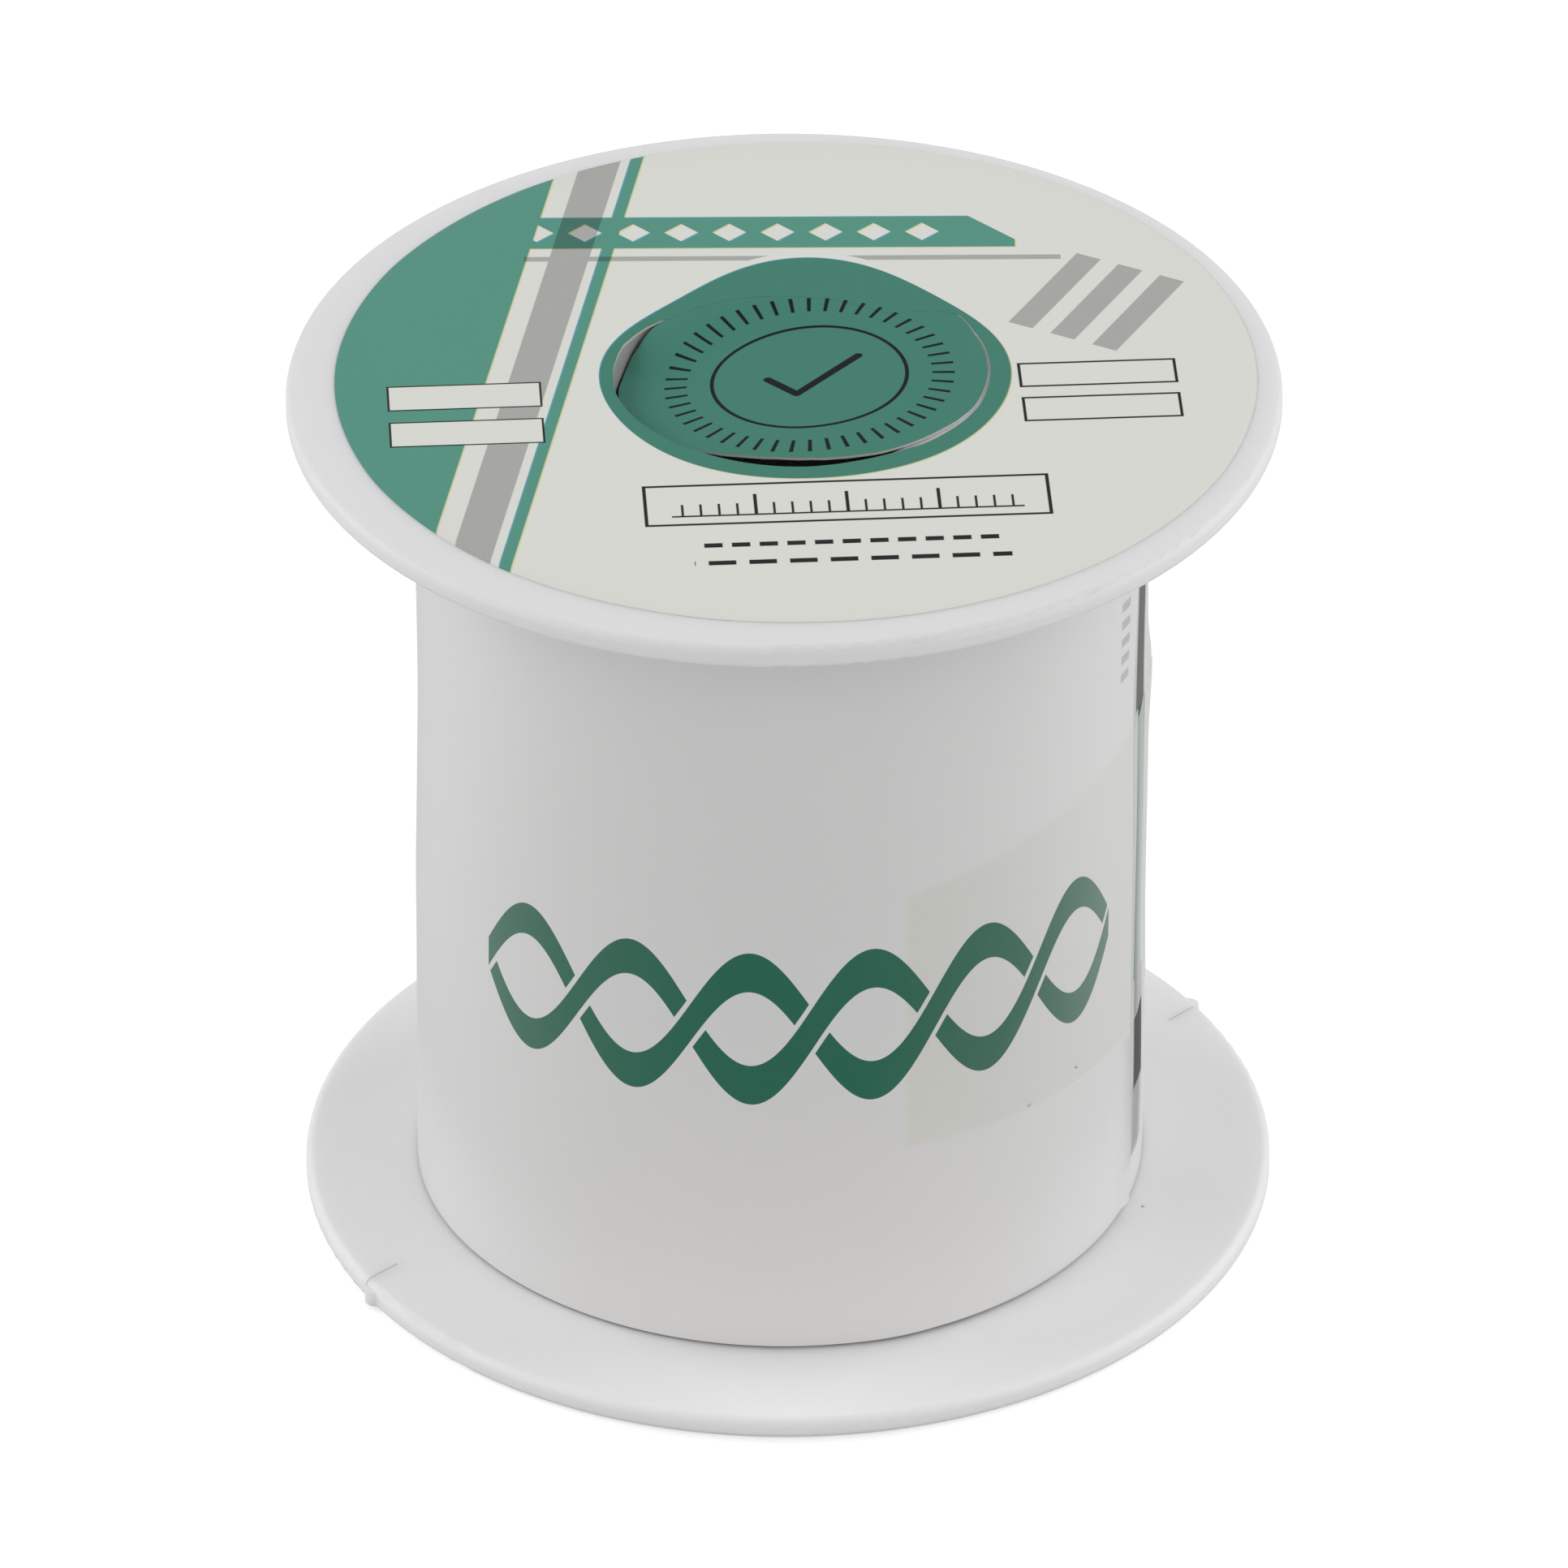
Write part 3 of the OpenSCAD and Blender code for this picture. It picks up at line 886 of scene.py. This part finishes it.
def thin_sheet(name, front, back, flat=None, closed=False):
    """A closed thin solid from two grids of points.

    A closed sheet joins its last column to its first. flat gives each grid point's place on the
    sheet, in metres, and is kept as the UV map "sheet".
    """
    shape = bmesh.new()
    rows, columns = len(front), len(front[0])
    sides = [[[shape.verts.new(p) for p in row] for row in grid] for grid in (front, back)]
    outer, inner = sides
    steps = columns if closed else columns - 1
    for i in range(rows - 1):
        for j in range(steps):
            k = (j + 1) % columns
            shape.faces.new((outer[i][j], outer[i][k], outer[i + 1][k], outer[i + 1][j]))
            shape.faces.new((inner[i][j], inner[i + 1][j], inner[i + 1][k], inner[i][k]))
    for i, flip in ((0, True), (rows - 1, False)):
        for j in range(steps):
            k = (j + 1) % columns
            wall = (outer[i][j], outer[i][k], inner[i][k], inner[i][j])
            shape.faces.new(wall[::-1] if flip else wall)
    if not closed:
        for j, flip in ((0, False), (columns - 1, True)):
            for i in range(rows - 1):
                wall = (outer[i][j], outer[i + 1][j], inner[i + 1][j], inner[i][j])
                shape.faces.new(wall[::-1] if flip else wall)
    if flat:
        uv = shape.loops.layers.uv.new("sheet")
        place = {}
        for side in sides:
            for verts, spots in zip(side, flat):
                place.update(zip(verts, spots))
        for face in shape.faces:
            for loop in face.loops:
                loop[uv].uv = place[loop.vert]
    bmesh.ops.remove_doubles(shape, verts=shape.verts, dist=1e-7)
    bmesh.ops.recalc_face_normals(shape, faces=shape.faces)
    mesh = bpy.data.meshes.new(name)
    shape.to_mesh(mesh)
    shape.free()
    return mesh


def finish_skin(mesh, sharp=0.6):
    """Smooth shading, with sharp edges where faces meet at more than an angle in radians."""
    mesh.shade_smooth()
    mesh.set_sharp_from_angle(angle=sharp)


# ---------- Wire ----------


def winding_tree():
    """Geometry nodes of one close-wound layer: a spiral line, swept with round wire and capped."""
    tree = bpy.data.node_groups.new("close_winding", "GeometryNodeTree")
    for name in ("Turns", "Layer Radius", "Rise", "Start Height", "Wire Radius"):
        tree.interface.new_socket(name, in_out="INPUT", socket_type="NodeSocketFloat")
    tree.interface.new_socket("Finish", in_out="INPUT", socket_type="NodeSocketMaterial")
    tree.interface.new_socket("Geometry", in_out="OUTPUT", socket_type="NodeSocketGeometry")
    size = tree.nodes.new("NodeGroupInput").outputs
    out = tree.nodes.new("NodeGroupOutput")
    line = node(
        tree,
        "GeometryNodeCurveSpiral",
        Resolution=72,
        Rotations=size["Turns"],
        Start_Radius=size["Layer Radius"],
        End_Radius=size["Layer Radius"],
        Height=size["Rise"],
    )
    lift = node(tree, "ShaderNodeCombineXYZ", Z=size["Start Height"])
    wander = node(tree, "ShaderNodeTexNoise", Scale=260.0, Detail=1.0)
    most = 0.03 * MM
    drift = node(
        tree, "ShaderNodeMapRange", Value=wander.outputs["Fac"], To_Min=-most, To_Max=most
    )
    stray = node(tree, "ShaderNodeCombineXYZ", Z=drift.outputs["Result"])
    shift = vector_maths(tree, "ADD", lift.outputs["Vector"], stray.outputs["Vector"])
    raised = node(tree, "GeometryNodeSetPosition", Geometry=line.outputs["Curve"], Offset=shift)
    level = node(
        tree, "GeometryNodeSetCurveNormal", {"mode": "Z_UP"}, Curve=raised.outputs["Geometry"]
    )
    section = node(
        tree, "GeometryNodeCurvePrimitiveCircle", Resolution=10, Radius=size["Wire Radius"]
    )
    swept = node(
        tree,
        "GeometryNodeCurveToMesh",
        Curve=level.outputs["Curve"],
        Profile_Curve=section.outputs["Curve"],
        Fill_Caps=True,
    )
    whole = node(tree, "GeometryNodeRealizeInstances", Geometry=swept.outputs["Mesh"])
    solid = whole.outputs["Geometry"]
    painted = node(tree, "GeometryNodeSetMaterial", Geometry=solid, Material=size["Finish"])
    feed_all(tree, out, Geometry=painted.outputs["Geometry"])
    return tree


def make_winding(finish):
    """The outer layer of wire, one unbroken length in close turns."""
    low, high = wind_low.z + WIRE_R, wind_high.z - WIRE_R
    values = {
        "Turns": float(math.floor((high - low) / WIRE_PITCH)),
        "Layer Radius": (wind_high.x - wind_low.x) / 2 - WIRE_R - WIRE_INSET,
        "Rise": high - low,
        "Start Height": low,
        "Wire Radius": WIRE_R,
        "Finish": finish,
    }
    tree = winding_tree()
    base = new_piece("winding_base", bpy.data.meshes.new("winding_base"), [])
    modifier = base.modifiers.new("winding", "NODES")
    modifier.node_group = tree
    for item in tree.interface.items_tree:
        if item.in_out == "INPUT":
            modifier[item.identifier] = values[item.name]
    evaluated = base.evaluated_get(bpy.context.evaluated_depsgraph_get())
    mesh = bpy.data.meshes.new_from_object(evaluated)
    base.modifiers.remove(modifier)
    bpy.data.objects.remove(base)
    mesh.name = "solder_winding"
    finish_skin(mesh, 1.0)
    return new_piece("solder_winding", mesh, [])


# ---------- Wrapper and tape ----------


def paper_bulge(azimuth, z):
    """How far the paper stands off the even round: ripples, a loose hem, a blister and a taper."""
    h = z / MM
    ripple = 0.025 * (1 + math.sin(math.radians(4 * azimuth) + 0.21 * h))
    dents = 0.03 * (1 + math.sin(math.radians(2 * azimuth) - 0.33 * h + 1.3))
    hem = 0.18 * round_bump(azimuth, -80, 32) * ease((9 - h) / 7)
    blister = 0.30 * round_bump(azimuth, 98, 11) * bump(h, 33.2, 2.6)
    belly = 0.12 * round_bump(azimuth, -90, 50) * ease((26 - h) / 8)
    taper = 0.30 * round_bump(azimuth, -90, 60) * ease((h - 20) / 14)
    tight = 0.15 * round_bump(azimuth, 90, 55)
    return (ripple + dents + hem + blister + belly - taper - tight) * MM


def end_lift(azimuth, z):
    """The outer end of the sheet lifts off, most where no tape holds it."""
    h = z / MM
    free = 0.06 + 0.28 * ease((13 - h) / 8) + 0.10 * ease((h - 35) / 8)
    return free * MM * ease((azimuth - 360 - LAP_END + 6) / 6)


def sheet_inner(azimuth, z):
    """Inner radius of the wrapper at an azimuth that grows from the inner end to the outer one."""
    lap = LAP_LIFT * ease((azimuth - 360 - LAP_START + LAP_RAMP) / LAP_RAMP)
    return WRAP_R - PAPER_T + lap + paper_bulge(azimuth, z) + end_lift(azimuth, z)


def both_sides(radius, thickness, azimuth, z):
    """Outer and inner point of the wrapper or tape, whose round is shifted by the sheet's slack."""
    slack = Vector((WRAP_SHIFT, 0, 0))
    return [at_azimuth(r, azimuth, z) + slack for r in (radius + thickness, radius)]


def hem_rise(azimuth):
    """The sheet was wound a little askew, so its lower edge rises towards the outer end."""
    return 0.55 * MM * ease((azimuth - 360 - 5) / 65)


def lap_skew(azimuth, share):
    """Degrees by which the foot of the outer end stays behind."""
    return 1.6 * (ease(share * 3) - 1) * ease((azimuth - 360 - LAP_END + 20) / 20)


def wrapper_points(share, even):
    """Both sides of the paper, and its place on the flat sheet, a share of the way up."""
    a = even + lap_skew(even, share)
    low = WRAP_LOW + hem_rise(a)
    z = low + (WRAP_HIGH - low) * share
    return *both_sides(sheet_inner(a, z), PAPER_T, a, z), (math.radians(a - 360) * WRAP_R, z)


def make_wrapper(finish):
    """The paper wrapper: one sheet whose outer end laps over its inner end."""
    first, last, degrees_each = LAP_START, 360 + LAP_END, 1.5
    azimuths = even_steps(math.ceil((last - first) / degrees_each), first, last)
    mesh = thin_sheet("wrapper_sheet", *grids(even_steps(56), azimuths, wrapper_points))
    finish_skin(mesh)
    return new_piece("wrapper_sheet", mesh, [finish])


def tape_inner(azimuth, z):
    """Inner radius of the tape: over the lap, then down across the step to the single sheet."""
    drop = ease((azimuth - LAP_END - 0.3) / 9)
    outer_sheet = sheet_inner(min(azimuth, LAP_END) + 360, z)
    under_sheet = sheet_inner(azimuth, z)
    return outer_sheet * (1 - drop) + under_sheet * drop + PAPER_T + 0.02 * MM


def tape_edges(azimuth):
    """Heights of the tape's lower and upper edge, laid on slightly askew."""
    run = (azimuth - TAPE_START) / TAPE_RUN
    high = TAPE_HIGH + TAPE_RISE * min(run, TAPE_LEVEL)
    return (TAPE_LOW - TAPE_FALL * run) * MM, high * MM


def tooth(z):
    """Depth of the torn end's teeth at a height."""
    share = (z / TOOTH_PITCH) % 1
    return TOOTH_DEPTH * (1 - abs(2 * share - 1))


def tape_points(share, along):
    """Both sides of the tape a share of the way up and along; the teeth fade in from each end."""
    even = TAPE_START + (TAPE_END - TAPE_START) * along
    low, high = tape_edges(even)
    z = low + (high - low) * share
    torn = math.degrees(tooth(z) / WRAP_R)
    parts = TOOTH_PARTS * along
    a = even + torn * (max(0, 1 - parts) - max(0, parts - (TOOTH_PARTS - 1)))
    return both_sides(tape_inner(a, z), TAPE_T, a, z)


def make_tape(finish):
    """The strip of clear tape, with the toothed ends that a dispenser's blade leaves."""
    rows, columns = even_steps(96), even_steps(150)
    mesh = thin_sheet("tape_strip", *grids(rows, columns, tape_points))
    finish_skin(mesh)
    return new_piece("tape_strip", mesh, [finish])


# ---------- Label and its pushed-in centre ----------

# Angle in degrees round the cut's centre, the disc's radius and the gap to the label's edge, in mm.
# From JOINED_FROM to JOINED_TO the disc is still joined to the label along a hairline, and from
# SEAM_FROM on that seam follows the bore's rim.
CUT_EDGE = (
    (31, 10.33, 0.05),
    (36, 10.33, 0.012),
    (144, 9.12, 0.012),
    (149, 9.20, 0.20),
    (154, 9.35, 0.31),
    (160, 9.49, 0.42),
    (166, 9.75, 0.41),
    (174, 9.92, 0.35),
    (182, 10.1, 0.3),
    (195, 10.25, 0.3),
    (208, 10.18, 0.36),
    (220, 9.9, 0.6),
    (229, 9.6, 0.9),
    (238, 9.23, 1.2),
    (250, 9.03, 1.4),
    (261, 9.03, 1.4),
    (272, 9.26, 1.15),
    (279, 9.48, 0.86),
    (287, 9.66, 0.62),
    (297, 9.88, 0.4),
    (303, 9.93, 0.42),
    (310, 10.0, 0.5),
    (318, 10.08, 0.44),
    (328, 10.26, 0.32),
    (336, 10.37, 0.24),
    (352, 10.32, 0.17),
    (370, 10.25, 0.13),
    (382, 10.18, 0.13),
    (391, 10.33, 0.05),
)
CUT_RADIUS, CUT_GAP = 1, 2
JOINED_FROM, SEAM_FROM, JOINED_TO = 31, 54, 144

# The bore's rim, and the part of it that the joined paper rests on
RIM_R = 9.3 * MM
HELD = math.radians(34), math.radians(139)
# How far inwards the rim holds the paper up, and how softly it bends at the fold
RIM_HOLD = 4.4 * MM
FOLD_SOFTNESS = 0.9 * MM

# Corners round each sheet, and the rings of each from its middle or inner edge outwards
SPOKES = 240
DISC_SHARES = [1 - (1 - share) ** 1.25 for share in even_steps(34)]
LABEL_SHARES = (
    0, 0.008, 0.016, 0.026, 0.042, 0.06, 0.085, 0.12, 0.18, 0.3, 0.5, 0.75, 0.98, 0.99, 1
)


def past_joint(angle):
    """The same angle, from JOINED_FROM to one turn further."""
    return (angle - JOINED_FROM) % 360 + JOINED_FROM


def along_table(angle, column):
    """Value of a column of the cut's table at an angle, with rounded steps between its rows."""
    angle = past_joint(angle)
    for before, after in zip(CUT_EDGE, CUT_EDGE[1:]):
        if angle <= after[0]:
            share = (angle - before[0]) / (after[0] - before[0])
            share = 0.5 * share + 0.5 * ease(share)
            return before[column] * (1 - share) + after[column] * share


def direction(angle):
    """Unit vector at an angle in degrees from +X, in the label's plane."""
    return Vector((math.cos(math.radians(angle)), math.sin(math.radians(angle)), 0))


def reach_to_circle(start, angle, centre, radius):
    """Distance from start along an angle to a circle round centre."""
    off, n = start - centre, direction(angle)
    off.z = 0
    along = off.dot(n)
    return -along + math.sqrt(along * along - off.length_squared + radius * radius)


def from_held_rim(x, y):
    """Distance inwards from the part of the bore's rim that the joined paper rests on."""
    angle = math.atan2(y, x)
    if HELD[0] <= angle <= HELD[1]:
        return max(RIM_R - math.hypot(x, y), 0)
    return min(math.hypot(x - RIM_R * math.cos(a), y - RIM_R * math.sin(a)) for a in HELD)


def sag(x, y):
    """How far the pushed-in centre lies below the label: past a soft fold, and less by the rim."""
    past = (Vector((x, y, 0)) - FOLD_POINT).xy.dot(FOLD_AWAY.xy)
    depth = math.tan(FLAP_TILT) * FOLD_SOFTNESS * math.log1p(math.exp(past / FOLD_SOFTNESS))
    return depth * ease(from_held_rim(x, y) / RIM_HOLD)


def disc_reach(angle):
    """Radius of the die-cut disc round the cut's centre."""
    cut = along_table(angle, CUT_RADIUS) * MM
    angle = past_joint(angle)
    if angle > JOINED_TO:
        return cut
    # The seam lies inside the rim, and a little less so towards its end
    clear = (8.97 + 0.16 * ease((angle - 95) / 35)) * MM
    seam = reach_to_circle(CUT_CENTRE, angle, Vector((0, 0, 0)), clear)
    share = ease((angle - JOINED_FROM) / (SEAM_FROM - JOINED_FROM))
    return cut * (1 - share) + seam * share


def label_reach(angle):
    """Radius of the label's inner edge round the cut's centre."""
    return disc_reach(angle) + along_table(angle, CUT_GAP) * MM


def label_drop(x, y):
    """The joined paper follows the disc down inside the bore's rim, at the back alone."""
    inside = ease((RIM_R + 0.05 * MM - math.hypot(x, y)) / (0.3 * MM))
    return sag(x, y) * inside if y > 2 * MM else 0


def disc_points(share, angle):
    """Top and back of the disc a share of the way out to its edge."""
    p = CUT_CENTRE + direction(angle) * disc_reach(angle) * share
    top = LABEL_TOP - sag(p.x, p.y) - 0.003 * MM
    return Vector((p.x, p.y, top)), Vector((p.x, p.y, top - LABEL_T * 0.97))


def label_points(share, angle):
    """Top and back of the label a share of the way from its inner edge to its pressed rim."""
    near = label_reach(angle)
    wobble = 0.04 * MM * math.sin(math.radians(7 * angle)) * math.sin(math.radians(3 * angle))
    far = reach_to_circle(CUT_CENTRE, angle, LABEL_CENTRE, LABEL_R) - abs(wobble)
    p = CUT_CENTRE + direction(angle) * (near + (far - near) * share)
    top = LABEL_TOP - label_drop(p.x, p.y)
    pressed = 0.1 * MM * ease((share - 0.98) / 0.02)
    return Vector((p.x, p.y, top - pressed)), Vector((p.x, p.y, top - LABEL_T))


def paint_edges(mesh):
    """Gives the second material to a sheet's back and cut, but not to the seam or the outer rim."""
    for face in mesh.polygons:
        off = face.center - CUT_CENTRE
        angle = math.degrees(math.atan2(off.y, off.x)) % 360
        joined = JOINED_FROM + 2 < angle < JOINED_TO + 2 and off.xy.length < 11 * MM
        outer_rim = (face.center - LABEL_CENTRE).xy.length > LABEL_R - 0.2 * MM
        printed = joined or face.normal.z > 0.35 or (outer_rim and face.normal.z > -0.5)
        face.material_index = 0 if printed else 1


def round_piece(name, shares, points, finishes):
    """A round sheet of the label's paper, with its print and its plain core."""
    angles = [360 * spoke / SPOKES for spoke in range(SPOKES)]
    mesh = thin_sheet(name, *grids(shares, angles, points), closed=True)
    paint_edges(mesh)
    finish_skin(mesh, 0.9)
    return new_piece(name, mesh, finishes)


# ---------- The whole spool ----------


def make_floor():
    """A wide pale floor just under the spool."""
    half, z = 4.0, -0.02 * MM
    mesh = bpy.data.meshes.new("floor")
    corners = [(-half, -half, z), (half, -half, z), (half, half, z), (-half, half, z)]
    mesh.from_pydata(corners, [], [(0, 1, 2, 3)])
    new_piece("floor", mesh, [pale_floor()])


def give_finish(finish, *names):
    """Puts a material on CAD nodes that stay in view."""
    for name in names:
        for slot in frame["nodes"][name].material_slots:
            slot.material = finish


make_camera()
make_room()
make_floor()

wire = solder_wire()
give_finish(spool_plastic("spool_plastic", LIT_LOWER_PLASTIC), "lower_spool_half")
give_finish(spool_plastic("upper_plastic", UPPER_PLASTIC), "upper_spool_half")
give_finish(wire, "wire_inner_layers", "wire_start")

winding = make_winding(wire)
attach(winding, "spool")
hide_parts("wire_outer_layer")

wrapper = make_wrapper(wrapper_paper())
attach(wrapper, "spool")
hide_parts("paper_wrapper")

tape = make_tape(clear_tape())
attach(tape, "spool")
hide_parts("wrapper_tape")

label_finishes = printed_label(), paper_core()
# The round paper label, with the die-cut hole in it
label = round_piece("label_sheet", LABEL_SHARES, label_points, label_finishes)
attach(label, "spool")
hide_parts("top_label")

# The label's die-cut centre, which bends softly at the fold
disc = round_piece("die_cut_disc", DISC_SHARES, disc_points, label_finishes)
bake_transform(disc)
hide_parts("centre_flap")
